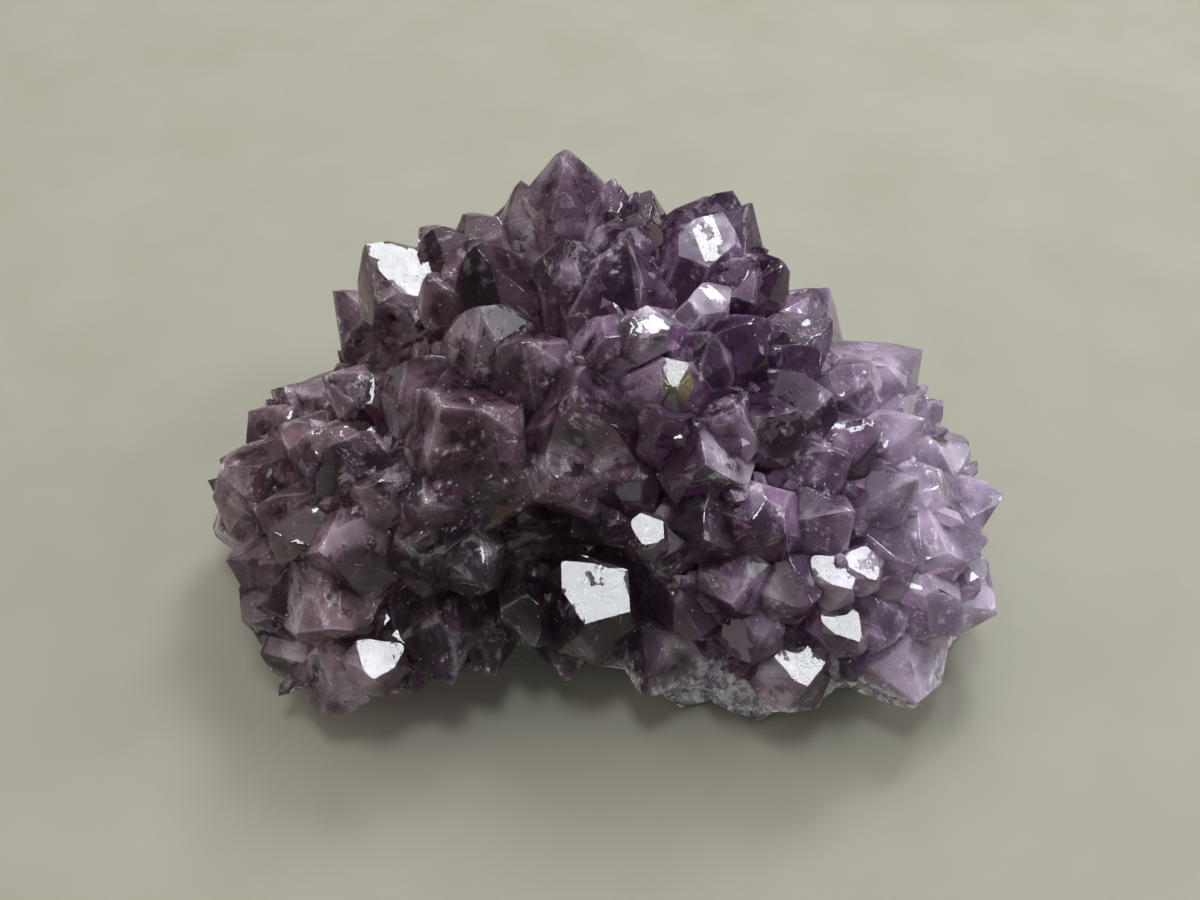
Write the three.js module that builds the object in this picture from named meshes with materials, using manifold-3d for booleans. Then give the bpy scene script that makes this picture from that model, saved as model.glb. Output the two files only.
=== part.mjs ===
// An amethyst cluster: a crust of purple quartz crystals, grown together on a bed of the same
// quartz, with the piece of grey-green rock that the crust grew on still under it.
// Millimetres, +Z up. X runs along the cluster, -Y is its front, and it rests on Z = 0.
import * as THREE from "three";
import { ConvexGeometry } from "three/addons/geometries/ConvexGeometry.js";
import { mergeVertices } from "three/addons/utils/BufferGeometryUtils.js";
import Module from "manifold-3d";

const wasm = await Module();
wasm.setup();

// The mound that the crystal tips reach, as pairs of X and millimetres: the height of its back,
// and how far forward and how far back its foot runs.
const SKYLINE = [
  [-76, 15], [-70, 26], [-60, 35], [-50, 45], [-40, 52], [-30, 57], [-20, 60], [0, 62],
  [17, 61], [30, 58], [38, 51], [50, 43], [60, 37], [70, 29], [77, 15],
];
const FRONT_FOOT = [
  [-76, -8], [-71, -26], [-63, -39], [-49, -47], [-30, -44], [-9, -37], [0, -38], [7, -42],
  [29, -47], [46, -44], [60, -43], [69, -36], [74, -25], [77, -10],
];
const BACK_FOOT = [
  [-76, 2], [-71, 12], [-65, 24], [-58, 35], [-51, 43], [-38, 54], [-30, 59], [-17, 62],
  [0, 63], [17, 61], [30, 58], [38, 49], [51, 39], [58, 33], [65, 23], [73, 10], [77, 3],
];
const LEFT_END = SKYLINE[0][0];
const RIGHT_END = SKYLINE.at(-1)[0];
// A cross-section of the mound is half a superellipse of this power.
const SECTION_POWER = 2.5;
// The mound's outward direction is taken over this much to each side, in millimetres along X and
// in degrees round, which is about as wide as a crystal.
const OUTWARD_REACH = 8;

// Quartz: the normal of each of the six faces of a point leans this far off the crystal's axis.
const POINT_FACE_LEAN = THREE.MathUtils.degToRad(51.79);
// How uneven the prism is, as a share of its width.
const PRISM_UNEVEN = 0.16;
// Three faces of a point are large and three are small; these are shares of the crystal's width.
const LARGE_FACE_DROP = 0.1;
const SMALL_FACE_RISE = [0.01, 0.2];
// This share of the crystals has lost its tip to a slanting break, this far down the point as a
// share of its width.
const BROKEN_SHARE = 0.3;
const BREAK_DEPTH = [0.1, 0.26];
const BREAK_SLANT = 0.5;

// The bed that the crystals share lies this far under their tips, and they root this far in it.
const BED_DEPTH = 11;
const ROOT = 4;
// Where the mound is lower than this, the bed is no thinner for it.
const BED_LEAST_RADIUS = 45;
// The crystals end this far above the surface that the rock rests on.
const CRYSTAL_FLOOR = 1;

// Hollows in the crust: the middle in X and in degrees round the mound, the reach in both, and
// the depth.
const HOLLOWS = [
  { x: -15, round: 40, reachX: 9, reachRound: 13, depth: 13 },
  { x: -12, round: 97, reachX: 5, reachRound: 6, depth: 8 },
];

// The space that the crystals leave for the rock is this much larger than the rock.
const ROCK_EASE = 1.016;

// The rock: its size as a share of the mound at its foot and higher up, between these degrees.
const ROCK_FOOT_SHARE = 0.8;
const ROCK_BULGE_SHARE = 0.1;
const ROCK_TOP_SHARE = 0.48;
const ROCK_SHOULDER = [3, 26];
// Two low waves that make it lumpy: the height as a share of the mound, and how fast they turn
// along X and round.
const ROCK_LUMPS = [[0.012, 0.31, 0.12], [0.01, 0.77, -0.2]];
// The stretches of X where the rock comes further out at the front.
const ROCK_BULGES = [[-68, 12], [14, 14]];

// The steps round and along of the rock's and the bed's surfaces.
const ROCK_STEPS = { round: 12, along: 10 };
const BED_STEPS = { round: 10, along: 10 };

// However far the rock and the bed are drawn in, they keep at least this share of the mound's
// length. Their ends are this blunt.
const LENGTH_KEPT = 0.7;
const END_BLUNTNESS = 3.5;

// Crystals chosen one by one: the tip's X, its degrees round the mound from the front foot (90 is
// the top), the width across flats, how far the tip stands out, the turn about the crystal's own
// axis, and how far the axis leans along X and back, in degrees. Those that are broken off have
// an eighth value, the depth of the break as a share of the width.
const CRYSTALS = [
  // the back row, on the skyline
  [-31, 113, 14, 4, 10, -6, 12, 0.2], [-23, 112, 12, 4, 40, 0, 8, 0.2], [-14, 113, 11, 6, 20, -4, 6],
  [-6, 107, 15, 11, 35, 2, -4], [2, 114, 10, 4, 15, 0, 0], [9, 113, 11, 4, 50, 4, 0],
  [4, 102, 14, 3, 12, 0, 0], [25, 109, 16, 7, 20, 4, 0], [33, 105, 11, 3, 0, 8, 0],
  // the upper left
  [-30, 95, 12, 2, 15, 0, 0], [-36, 83, 17, 2, 30, -4, 0], [-49, 91, 13, 2, 33, -10, 0],
  [-56, 88, 12, 2, 22, -12, 0], [-52, 80, 15, 3, 47, -6, 0], [-22, 94, 17, 4, 8, 0, 0],
  [-20, 84, 16, 4, 38, 4, 0], [-5, 91, 12, 5, 25, 4, 0],
  [-13, 75, 17, 3, 12, 2, 0],
  // the middle
  [4, 91, 20, 5, 18, 2, 0], [2, 77, 16, 4, 40, 0, 0], [13, 73, 15, 4, 22, 4, 6],
  [18, 80, 14, 3, 50, 4, 0], [27, 97, 11, 3, 33, 6, 0], [28, 87, 14, 3, 44, 6, 0],
  [-2, 61, 26, 6, 30, 0, 4], [-25, 65, 25, 6, 0, -4, 4], [22, 68, 14, 3, 20, 0, 0],
  [10, 63, 13, 2, 55, 0, 0], [18, 56, 17, 4, 35, 2, 0], [18, 43, 14, 3, 28, 4, 0],
  [-7, 48, 12, 2, 15, -4, 0], [4, 48, 11, 1, 45, 0, 0],
  // the right
  [41, 98, 15, 3, 12, 14, 0], [38, 90, 15, 2, 42, 8, 0], [50, 95, 13, 3, 25, 12, 0],
  [37, 80, 18, 4, 0, 4, 0], [46, 80, 15, 4, 35, 8, 6], [57, 90, 14, 3, 20, 12, 0],
  [61, 79, 14, 3, 50, 12, 0, 0.2], [31, 71, 13, 3, 15, 0, 0], [40, 68, 16, 4, 38, 4, 0],
  [52, 71, 15, 3, 8, 6, 0], [40, 56, 14, 4, 52, 2, 0], [28, 48, 14, 3, 18, 0, 0],
  [51, 50, 17, 4, 40, 6, 0], [67, 67, 19, 5, 10, 10, 0, 0.3], [71, 40, 15, 5, 48, 10, 0, 0.28],
  [60, 39, 16, 3, 22, 4, 0], [49, 29, 13, 3, 5, 4, 0], [44, 18, 13, 3, 25, 2, -6],
  [40, 7, 14, 2, 35, 0, -8, 0.3], [57, 13, 19, 5, 20, 8, -14],
  [22, 32, 14, 3, 48, 0, 0], [25, 20, 14, 3, 6, 0, 0], [34, 34, 14, 3, 26, 0, 0],
  [15, 22, 13, 2, 42, 0, 0], [11, 37, 12, 2, 16, 0, 0],
  // the left
  [-68, 90, 17, 7, 24, -10, 4, 0.24], [-46, 70, 17, 3, 36, 0, 0], [-60, 72, 14, 2, 34, -6, 0],
  [-54, 60, 16, 3, 18, 0, 0], [-66, 52, 16, 2, 50, -6, 0], [-45, 50, 18, 4, 4, 0, 0],
  [-38, 59, 14, 2, 38, 0, 0], [-29, 50, 13, 2, 14, 2, 0],
  [-28, 37, 14, 2, 52, 4, 0], [-20, 31, 12, 2, 8, 6, 0], [-66, 32, 16, 2, 26, -6, 0, 0.2],
  [-57, 41, 14, 2, 12, 0, 0], [-61, 14, 17, 2, 42, -4, 0, 0.28], [-47, 10, 20, 4, 16, -4, -8, 0.14],
  [-47, 34, 17, 4, 36, 6, 0], [-36, 9, 14, 3, 20, 0, -4], [-27, 13, 13, 4, 10, 4, -14],
  [-19, 10, 11, 2, 14, 0, -4],
  // the front of the middle
  [-11, 14, 11, 2, 12, 0, 0], [-6, 5, 13, 2, 40, 0, -6], [2, 8, 13, 2, 24, 0, -4, 0.24],
  [9, 9, 16, 3, 18, 2, 0], [15, 3, 15, 2, 44, 0, -4, 0.36], [27, 4, 17, 3, 8, 0, -4, 0.38],
  // small ones down in the hollow and at its rim
  [-16, 46, 9, -7, 10, 0, 0], [-12, 36, 9, -8, 35, 0, 0], [-20, 40, 9, -6, 50, 0, 0],
  [-10, 46, 10, -3, 22, 0, 0], [-4, 42, 12, -1, 5, 0, 0], [2, 38, 11, -1, 48, 0, 0],
  [-5, 34, 10, -3, 30, 0, 0],
  // round the two ends
  [-75, 70, 15, 3, 12, -34, 0, 0.26], [-72, 116, 16, 3, 40, -24, 0], [-72, 156, 15, 3, 5, -20, 0],
  [74, 92, 16, 3, 18, 26, 0], [72, 122, 16, 3, 46, 22, 0], [75, 152, 15, 2, 8, 26, 0],
  [76, 120, 14, 1, 22, 44, 0], [65, 120, 16, 2, 12, 10, 0], [67, 142, 16, 2, 36, 12, 0],
  [-63, 120, 16, 2, 50, -10, 0], [-66, 142, 16, 2, 8, -12, 0],
];

// Crystals that have one broad face lying nearly level, so that all of these look towards one
// place above the cluster: X, degrees round the mound, the width across flats and how far the
// tip stands out.
const LEVEL_FACED = [
  [-38, 107, 17, 9], [21, 105, 13, 6], [-1, 24, 17, 7], [40, 42, 10, 5], [44, 45, 7, 6],
  [41, 31, 9, 6], [35, 20, 15, 5], [5, 75, 9, 6], [22, 90, 9, 3], [-38, 22, 10, 6],
  [8, 41, 7, 5],
];
const BROAD_FACES_LOOK_AT = new THREE.Vector3(38, -14, 290);
const BROAD_FACE_DROP = 0.16;

// The back, which is covered evenly: rows in degrees round the mound, the least distance between
// the tips of a row and the range of widths.
const BACK_ROWS = [
  { round: 126, spacing: 21, widths: [19, 23] },
  { round: 146, spacing: 25, widths: [22, 27] },
  { round: 167, spacing: 25, widths: [21, 26] },
];
const BACK_END_MARGIN = 11;
const BACK_STANDING = [1, 5];
const BACK_SCATTER = { x: 3, round: 4, lean: 8 };

// Always the same run of numbers between 0 and 1.
function repeatable(seed) {
  let state = seed;
  return () => {
    state = (state * 1664525 + 1013904223) % 4294967296;
    return state / 4294967296;
  };
}

const draw = repeatable(20);
const between = ([low, high]) => low + (high - low) * draw();
const either = (reach) => reach * (2 * draw() - 1);

// The value at X on a line of pairs.
function along(line, x) {
  const after = line.findIndex(([at]) => at >= x);
  if (after === 0) return line[0][1];
  if (after < 0) return line.at(-1)[1];
  const [x0, y0] = line[after - 1];
  const [x1, y1] = line[after];
  return THREE.MathUtils.mapLinear(x, x0, x1, y0, y1);
}

// A point of the mound. Round is 0 degrees at the front foot, 90 at the top and 180 behind.
function onMound(x, round) {
  const angle = THREE.MathUtils.degToRad(round);
  const front = along(FRONT_FOOT, x);
  const back = along(BACK_FOOT, x);
  const forward = -Math.cos(angle);
  const y = Math.sign(forward) * Math.abs(forward) ** (2 / SECTION_POWER);
  const z = Math.sin(angle) ** (2 / SECTION_POWER);
  return new THREE.Vector3(x, (front + back) / 2 + (y * (back - front)) / 2, z * along(SKYLINE, x));
}

// The mound's outward direction.
function outward(x, round) {
  const sideways = onMound(x + OUTWARD_REACH, round).sub(onMound(x - OUTWARD_REACH, round));
  const from = Math.max(round - OUTWARD_REACH, 0);
  const over = onMound(x, Math.min(round + OUTWARD_REACH, 180)).sub(onMound(x, from));
  return sideways.cross(over).normalize();
}

// How deep the hollows are at a place.
function hollowAt(x, round) {
  let depth = 0;
  for (const hollow of HOLLOWS) {
    const across = ((x - hollow.x) / hollow.reachX) ** 2;
    const over = ((round - hollow.round) / hollow.reachRound) ** 2;
    depth += hollow.depth * Math.exp(-across - over);
  }
  return depth;
}

// A closed mesh as a solid that can be joined and cut.
function solidOf(geometry) {
  geometry.deleteAttribute("normal");
  geometry.deleteAttribute("uv");
  const merged = mergeVertices(geometry, 1e-4);
  const vertProperties = Float32Array.from(merged.attributes.position.array);
  const triVerts = Uint32Array.from(merged.index.array);
  return new wasm.Manifold(new wasm.Mesh({ numProp: 3, vertProperties, triVerts }));
}

function geometryOf(solid) {
  const { vertProperties, triVerts } = solid.getMesh();
  const geometry = new THREE.BufferGeometry();
  geometry.setAttribute("position", new THREE.BufferAttribute(vertProperties, 3));
  geometry.setIndex(new THREE.BufferAttribute(triVerts, 1));
  geometry.computeVertexNormals();
  return geometry;
}

// The corners of the space that lies inside all the planes.
function corners(planes) {
  const found = [];
  for (let i = 0; i < planes.length; i++)
    for (let j = i + 1; j < planes.length; j++)
      for (let k = j + 1; k < planes.length; k++) {
        const [a, b, c] = [planes[i], planes[j], planes[k]];
        const ab = a.normal.clone().cross(b.normal);
        const bc = b.normal.clone().cross(c.normal);
        const ca = c.normal.clone().cross(a.normal);
        const together = a.normal.dot(bc);
        if (Math.abs(together) < 1e-6) continue;
        const corner = bc.multiplyScalar(-a.constant);
        corner.addScaledVector(ca, -b.constant).addScaledVector(ab, -c.constant);
        corner.divideScalar(together);
        if (planes.every((plane) => plane.distanceToPoint(corner) < 1e-6)) found.push(corner);
      }
  return found;
}

// One quartz crystal: an uneven hexagonal prism, closed by three large and three small faces
// that meet at its tip. Its axis is Z and its first face leans to X until it is turned into place.
// Every crystal draws the same count of numbers, so a change to one leaves the others alone.
function crystal({ tip, turned, across, length, broad, broken }) {
  const planes = [new THREE.Plane(new THREE.Vector3(0, 0, -1), -length)];
  const large = draw() < 0.5 || broad ? 0 : 1;
  for (let side = 0; side < 6; side++) {
    const bearing = (side * Math.PI) / 3;
    const flat = new THREE.Vector3(Math.cos(bearing), Math.sin(bearing), 0);
    const apothem = (across / 2) * (1 + either(PRISM_UNEVEN));
    planes.push(new THREE.Plane(flat, -apothem));
    const sloping = flat.clone().multiplyScalar(Math.sin(POINT_FACE_LEAN));
    sloping.z = Math.cos(POINT_FACE_LEAN);
    const isLarge = side % 2 === large;
    const usual = isLarge ? either(LARGE_FACE_DROP) : between(SMALL_FACE_RISE);
    const share = broad && side === 0 ? -BROAD_FACE_DROP : usual;
    planes.push(new THREE.Plane(sloping, -share * across * sloping.z));
  }
  const slant = new THREE.Vector3(either(BREAK_SLANT), either(BREAK_SLANT), 1).normalize();
  const breaks = draw() < BROKEN_SHARE && !broad;
  const depth = between(BREAK_DEPTH);
  if (broken || breaks) planes.push(new THREE.Plane(slant, (broken ?? depth) * across));
  const geometry = new ConvexGeometry(corners(planes));
  geometry.applyQuaternion(turned);
  geometry.translate(tip.x, tip.y, tip.z);
  return solidOf(geometry);
}

// The turn that stands a crystal on its axis, turned about it.
function standingOn(axis, turn) {
  const up = new THREE.Vector3(0, 0, 1);
  const about = new THREE.Quaternion().setFromAxisAngle(up, THREE.MathUtils.degToRad(turn));
  return new THREE.Quaternion().setFromUnitVectors(up, axis).multiply(about);
}

// The turn that makes a crystal's first face look one way, and leans its axis as nearly outwards
// as that allows.
function levelFaced(outwards, facing) {
  const side = outwards.clone().addScaledVector(facing, -outwards.dot(facing)).normalize();
  const axis = facing.clone().multiplyScalar(Math.cos(POINT_FACE_LEAN));
  axis.addScaledVector(side, Math.sin(POINT_FACE_LEAN)).normalize();
  const first = facing.clone().addScaledVector(axis, -facing.dot(axis)).normalize();
  const basis = new THREE.Matrix4().makeBasis(first, axis.clone().cross(first), axis);
  return new THREE.Quaternion().setFromRotationMatrix(basis);
}

// A crystal on the mound, rooted in the bed.
function crystalAt([x, round, across, standing, turn, leanX, leanBack, broken]) {
  const normal = outward(x, round);
  const broad = turn === undefined;
  const axis = normal.clone();
  if (!broad) {
    axis.x += Math.tan(THREE.MathUtils.degToRad(leanX));
    const further = onMound(x, Math.min(round + OUTWARD_REACH, 180));
    const over = further.sub(onMound(x, round)).normalize();
    axis.addScaledVector(over, Math.tan(THREE.MathUtils.degToRad(leanBack)));
    axis.normalize();
  }
  const tip = onMound(x, round).addScaledVector(normal, standing);
  const facing = BROAD_FACES_LOOK_AT.clone().sub(tip).normalize();
  const turned = broad ? levelFaced(normal, facing) : standingOn(axis, turn);
  const length = standing + BED_DEPTH + ROOT + hollowAt(x, round);
  return crystal({ tip, turned, across, length, broad, broken });
}

// A closed surface laid over the mound. It starts as a ball whose poles are the mound's ends;
// place gives each of its points from X, the degrees round and the share of the full section.
function overMound(steps, place) {
  const geometry = new THREE.SphereGeometry(1, steps.round, steps.along);
  geometry.rotateZ(-Math.PI / 2);
  const points = geometry.attributes.position;
  const ball = new THREE.Vector3();
  for (let i = 0; i < points.count; i++) {
    ball.fromBufferAttribute(points, i);
    const ring = Math.hypot(ball.y, ball.z);
    const x = THREE.MathUtils.mapLinear(ball.x, -1, 1, LEFT_END, RIGHT_END);
    // The ball's two ends, and the seam where its first and last points meet, count as above.
    const height = Math.abs(ball.z) < 1e-6 ? 0 : ball.z;
    const angle = ring < 1e-6 ? Math.PI / 2 : Math.atan2(height, -ball.y);
    const round = THREE.MathUtils.radToDeg(angle);
    const point = place(x, round, Math.min(1, END_BLUNTNESS * ring));
    points.setXYZ(i, point.x, point.y, point.z);
  }
  return geometry;
}

// A point under the mound, drawn in towards the middle of the mound's foot at its own X. Below
// the foot the surface is flat, at the height of floor.
function drawnIn(x, round, share, endShare, floor) {
  const onTop = round >= 0;
  const point = onMound(x, onTop ? round : 0);
  const middle = (along(FRONT_FOOT, x) + along(BACK_FOOT, x)) / 2;
  const reach = share * endShare;
  const rise = (share * (1 + endShare)) / 2;
  if (!onTop) {
    const forward = Math.cos(THREE.MathUtils.degToRad(round));
    point.y = middle + (point.y - middle) * forward;
  }
  point.x = x * THREE.MathUtils.lerp(LENGTH_KEPT, 1, share);
  point.y = middle + (point.y - middle) * reach;
  point.z = Math.max(floor, point.z * rise);
  if (!onTop) point.z = floor;
  return point;
}

// The rock, or with an ease over 1 the slightly larger space that the crystals leave for it.
function rock(ease) {
  const surface = overMound(ROCK_STEPS, (x, round, endShare) => {
    const bulges = ROCK_BULGES.map(([at, reach]) => Math.exp(-(((x - at) / reach) ** 2)));
    const front = round < 90 ? 1 : 0;
    const foot = ROCK_FOOT_SHARE + ROCK_BULGE_SHARE * front * Math.max(...bulges);
    const shoulder = THREE.MathUtils.smoothstep(Math.min(round, 180 - round), ...ROCK_SHOULDER);
    const waves = ROCK_LUMPS.map(([height, turnX, turnRound]) => {
      return height * Math.sin(x * turnX + round * turnRound);
    });
    const share = THREE.MathUtils.lerp(foot, ROCK_TOP_SHARE, shoulder) + waves[0] + waves[1];
    const point = drawnIn(x, round, share * ease, endShare, 0);
    point.x *= ease;
    return point;
  });
  return solidOf(surface);
}

// The bed of quartz that the crystals root in.
function bed() {
  const surface = overMound(BED_STEPS, (x, round, endShare) => {
    const angle = Math.max(round, 0);
    const depth = BED_DEPTH + hollowAt(x, angle);
    const full = onMound(x, angle).length();
    return drawnIn(x, round, 1 - depth / Math.max(full, BED_LEAST_RADIUS), endShare, CRYSTAL_FLOOR);
  });
  return solidOf(surface);
}

// The crystals of the back, in the same form as those chosen one by one.
function backCrystals() {
  const placed = [];
  for (const row of BACK_ROWS) {
    let last = onMound(LEFT_END, row.round);
    for (let x = LEFT_END + BACK_END_MARGIN; x < RIGHT_END - BACK_END_MARGIN; x++) {
      const here = onMound(x, row.round);
      if (here.distanceTo(last) < row.spacing) continue;
      last = here;
      placed.push([
        x + either(BACK_SCATTER.x), row.round + either(BACK_SCATTER.round), between(row.widths),
        between(BACK_STANDING), 60 * draw(), either(BACK_SCATTER.lean), either(BACK_SCATTER.lean),
      ]);
    }
  }
  return placed;
}

// All the crystals and their bed as one solid, cut off at the bottom and cleared for the rock.
function joinedCrystals() {
  let joined = bed();
  for (const entry of [...CRYSTALS, ...LEVEL_FACED, ...backCrystals()])
    joined = joined.add(crystalAt(entry));
  const wide = 3 * (RIGHT_END - LEFT_END);
  const below = new THREE.BoxGeometry(wide, wide, wide).translate(0, 0, CRYSTAL_FLOOR - wide / 2);
  return joined.subtract(solidOf(below)).subtract(rock(ROCK_EASE));
}

// The largest of the separate bodies that a cut may leave.
function largest(solid) {
  const bodies = solid.decompose();
  return bodies.reduce((best, body) => (body.volume() > best.volume() ? body : best));
}

const amethyst = new THREE.Mesh(
  geometryOf(largest(joinedCrystals())),
  new THREE.MeshStandardMaterial({ color: 0x6b5270, roughness: 0.15, metalness: 0 }),
);
amethyst.name = "amethyst_crystals";

const matrix = new THREE.Mesh(
  geometryOf(rock(1)),
  new THREE.MeshStandardMaterial({ color: 0x80857a, roughness: 0.85, metalness: 0 }),
);
matrix.name = "matrix_rock";

const cluster = new THREE.Group();
cluster.add(amethyst, matrix);

// The origin is in the middle of the cluster's length and depth, on the face that it rests on.
const middle = new THREE.Box3().setFromObject(cluster).getCenter(new THREE.Vector3());
for (const piece of cluster.children) piece.position.set(-middle.x, -middle.y, 0);

export default cluster;
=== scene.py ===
"""An amethyst cluster: purple quartz points, grown together on a piece of grey-green rock.

Metres, +Z up, +X along the cluster, -Y its front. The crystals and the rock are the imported
solids, given their finer relief here; the small crystals, the inner cracks and the inclusions
are made here.
"""

import math

import bmesh
import bpy
import numpy as np
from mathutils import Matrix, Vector
from mathutils.bvhtree import BVHTree


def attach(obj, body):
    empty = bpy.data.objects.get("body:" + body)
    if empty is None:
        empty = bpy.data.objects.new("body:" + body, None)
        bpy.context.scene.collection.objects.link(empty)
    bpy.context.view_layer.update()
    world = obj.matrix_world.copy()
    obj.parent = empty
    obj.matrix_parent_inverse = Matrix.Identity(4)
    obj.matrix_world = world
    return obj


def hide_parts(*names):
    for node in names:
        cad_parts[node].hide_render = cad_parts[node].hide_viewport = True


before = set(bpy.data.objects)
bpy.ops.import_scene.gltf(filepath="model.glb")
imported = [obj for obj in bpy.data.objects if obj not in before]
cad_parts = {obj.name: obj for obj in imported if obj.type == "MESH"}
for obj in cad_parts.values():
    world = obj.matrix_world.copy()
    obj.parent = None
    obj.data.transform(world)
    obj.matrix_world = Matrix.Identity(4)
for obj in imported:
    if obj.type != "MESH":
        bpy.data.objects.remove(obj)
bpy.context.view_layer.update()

# The camera looks down on the front of the cluster from a hand's reach away, as a phone held
# over a table does.
CAMERA_DISTANCE = 0.245
CAMERA_ELEVATION = math.radians(50)
CAMERA_HALF_WIDTH = math.radians(25)
CAMERA_TARGET = Vector((-0.0001, -0.0070, 0.027))
SENSOR_WIDTH = 36

looking = Vector((0, math.cos(CAMERA_ELEVATION), -math.sin(CAMERA_ELEVATION)))
lens = bpy.data.cameras.new("camera")
lens.sensor_width = SENSOR_WIDTH
lens.lens = SENSOR_WIDTH / 2 / math.tan(CAMERA_HALF_WIDTH)
lens.clip_start = 0.01
camera = bpy.data.objects.new("camera", lens)
camera.location = CAMERA_TARGET - looking * CAMERA_DISTANCE
camera.rotation_euler = looking.to_track_quat("-Z", "Y").to_euler()
bpy.context.scene.collection.objects.link(camera)
bpy.context.scene.camera = camera


# The studio: a plain pale floor of matt board, and soft lamps a metre away. The room's own light
# is weaker than theirs.
LAMP_DISTANCE = 0.95
# Each lamp is a direction, a size, its brightness and its colour. The window behind and the
# skylight overhead are small and bright, and the level faces mirror them towards the camera. The
# others are wide and weak. Lamps brighter than BRIGHT aren't seen through the quartz, where they
# would make hot spots.
BRIGHT = 10
LAMPS = {
    "window": ((0.247, 0.527, 0.753), (0.25, 0.27), 15.5, (0.93, 0.97, 1.0)),
    "skylight": ((0.0, -0.06, 1.0), (0.2, 0.2), 14.5, (0.93, 0.97, 1.0)),
    "overhead": ((-0.15, 0.6, 1.0), (1.3, 1.0), 1.0, (1.0, 0.97, 0.99)),
    "left": ((-1.0, -0.15, 0.8), (0.7, 0.6), 1.0, (1.0, 0.94, 0.86)),
    "right": ((1.0, 0.1, 0.6), (0.5, 0.5), 3.0, (0.97, 0.97, 1.0)),
    "front": ((0.2, -1.0, 0.4), (0.7, 0.35), 0.8, (1.0, 0.98, 0.96)),
}
ROOM_COLOUR = (0.92, 0.94, 1.0)
ROOM_STRENGTH = 0.13
FLOOR_SIZE = 3.0
FLOOR_COLOURS = ((0.37, 0.355, 0.275), (0.465, 0.45, 0.37))


class Socket:
    """One output of a shader node. An expression on sockets adds the Math nodes that work it
    out, so 1 - mask and mask * 0.5 are sockets too."""

    def __init__(self, finish, output):
        self.finish = finish
        self.output = output

    def other(self, name):
        """Another output of the same node."""
        return Socket(self.finish, self.output.node.outputs[name])

    def math(self, operation, *values):
        """One Math node."""
        inputs = dict(enumerate(values))
        return self.finish.node("Math", {"operation": operation}, inputs)

    def __add__(self, other):
        return self.math("ADD", self, other)

    def __sub__(self, other):
        return self.math("SUBTRACT", self, other)

    def __mul__(self, other):
        return self.math("MULTIPLY", self, other)

    def __radd__(self, other):
        return self.math("ADD", other, self)

    def __rsub__(self, other):
        return self.math("SUBTRACT", other, self)

    def __rmul__(self, other):
        return self.math("MULTIPLY", other, self)

    def clamped(self):
        """The value held between 0 and 1."""
        return self.math("MINIMUM", self.math("MAXIMUM", self, 0.0), 1.0)

    def away_from(self, middle):
        """How far the value is from another, either way."""
        return self.math("ABSOLUTE", self - middle)

    def between(self, low, high):
        """0 below low, 1 above high and a smooth rise between them."""
        settings = {"interpolation_type": "SMOOTHSTEP"}
        return self.finish.node("MapRange", settings, {0: self, 1: low, 2: high})


class Finish:
    """A material that is built node by node."""

    def __init__(self, name):
        self.material = bpy.data.materials.new(name)
        self.material.use_nodes = True
        self.tree = self.material.node_tree
        self.tree.nodes.clear()
        self.place = self.node("TexCoord", output="Object")

    def node(self, kind, settings=None, inputs=None, output=0):
        """Adds one node: its settings first, then the values or links of its sockets."""
        made = self.tree.nodes.new("ShaderNode" + kind)
        for name, value in (settings or {}).items():
            setattr(made, name, value)
        for name, value in (inputs or {}).items():
            if isinstance(value, Socket):
                self.tree.links.new(value.output, made.inputs[name])
            else:
                made.inputs[name].default_value = value
        return Socket(self, made.outputs[output]) if len(made.outputs) else None

    def noise(self, size, detail=3.0, roughness=0.55, stretch=None):
        """Noise whose lumps are about size metres across, stretched by a Mapping node if asked."""
        place = self.place
        if stretch is not None:
            place = self.node("Mapping", None, {0: self.place, "Scale": stretch})
        inputs = {"Vector": place, "Scale": 1 / size, "Detail": detail, "Roughness": roughness}
        return self.node("TexNoise", None, inputs)

    def cells(self, size):
        """How far a place is from the middle of its cell, where random cells about size metres
        across fill the space. The node's colour is another random one for each cell."""
        return self.node("TexVoronoi", None, {"Vector": self.place, "Scale": 1 / size})

    def blend(self, share, first, second):
        """A colour between first and second, by share. They are sockets 6 and 7 of the node."""
        inputs = {0: share}
        for index, colour in ((6, first), (7, second)):
            inputs[index] = colour if isinstance(colour, Socket) else (*colour, 1.0)
        return self.node("Mix", {"data_type": "RGBA"}, inputs, output=2)

    def distance(self, spot):
        """How far a place is from a spot, in metres."""
        inputs = {0: self.place, 1: spot}
        return self.node("VectorMath", {"operation": "DISTANCE"}, inputs, output="Value")

    def near(self, spot, inner, outer):
        """1 within inner of a spot, 0 beyond outer, in metres."""
        return 1 - self.distance(spot).between(inner, outer)

    def vector(self, operation, *values, **named):
        """One Vector Math node."""
        inputs = {**dict(enumerate(values)), **named}
        return self.node("VectorMath", {"operation": operation}, inputs, output="Vector")

    def mixed(self, share, first, second):
        """A vector between first and second, by share. They are sockets 4 and 5 of the node."""
        return self.node("Mix", {"data_type": "VECTOR"}, {0: share, 4: first, 5: second}, output=1)

    def bump(self, height, distance, strength):
        """A normal that follows a height."""
        inputs = {"Height": height, "Distance": distance, "Strength": strength}
        return self.node("Bump", None, inputs)

    def principled(self, **inputs):
        """A Principled shader: its sockets are named with underscores for spaces."""
        named = {name.replace("_", " "): value for name, value in inputs.items()}
        if not isinstance(named["Base Color"], Socket):
            named["Base Color"] = (*named["Base Color"], 1.0)
        return self.node("BsdfPrincipled", None, named)

    def done(self, surface, volume=None):
        """The material, with its output linked."""
        inputs = {"Surface": surface}
        if volume is not None:
            inputs["Volume"] = volume
        self.node("OutputMaterial", None, inputs)
        return self.material


def mesh_object(name, mesh, finish):
    """Puts a mesh with its finish in the scene."""
    mesh.materials.clear()
    mesh.materials.append(finish)
    made = bpy.data.objects.new(name, mesh)
    bpy.context.scene.collection.objects.link(made)
    return made


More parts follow.
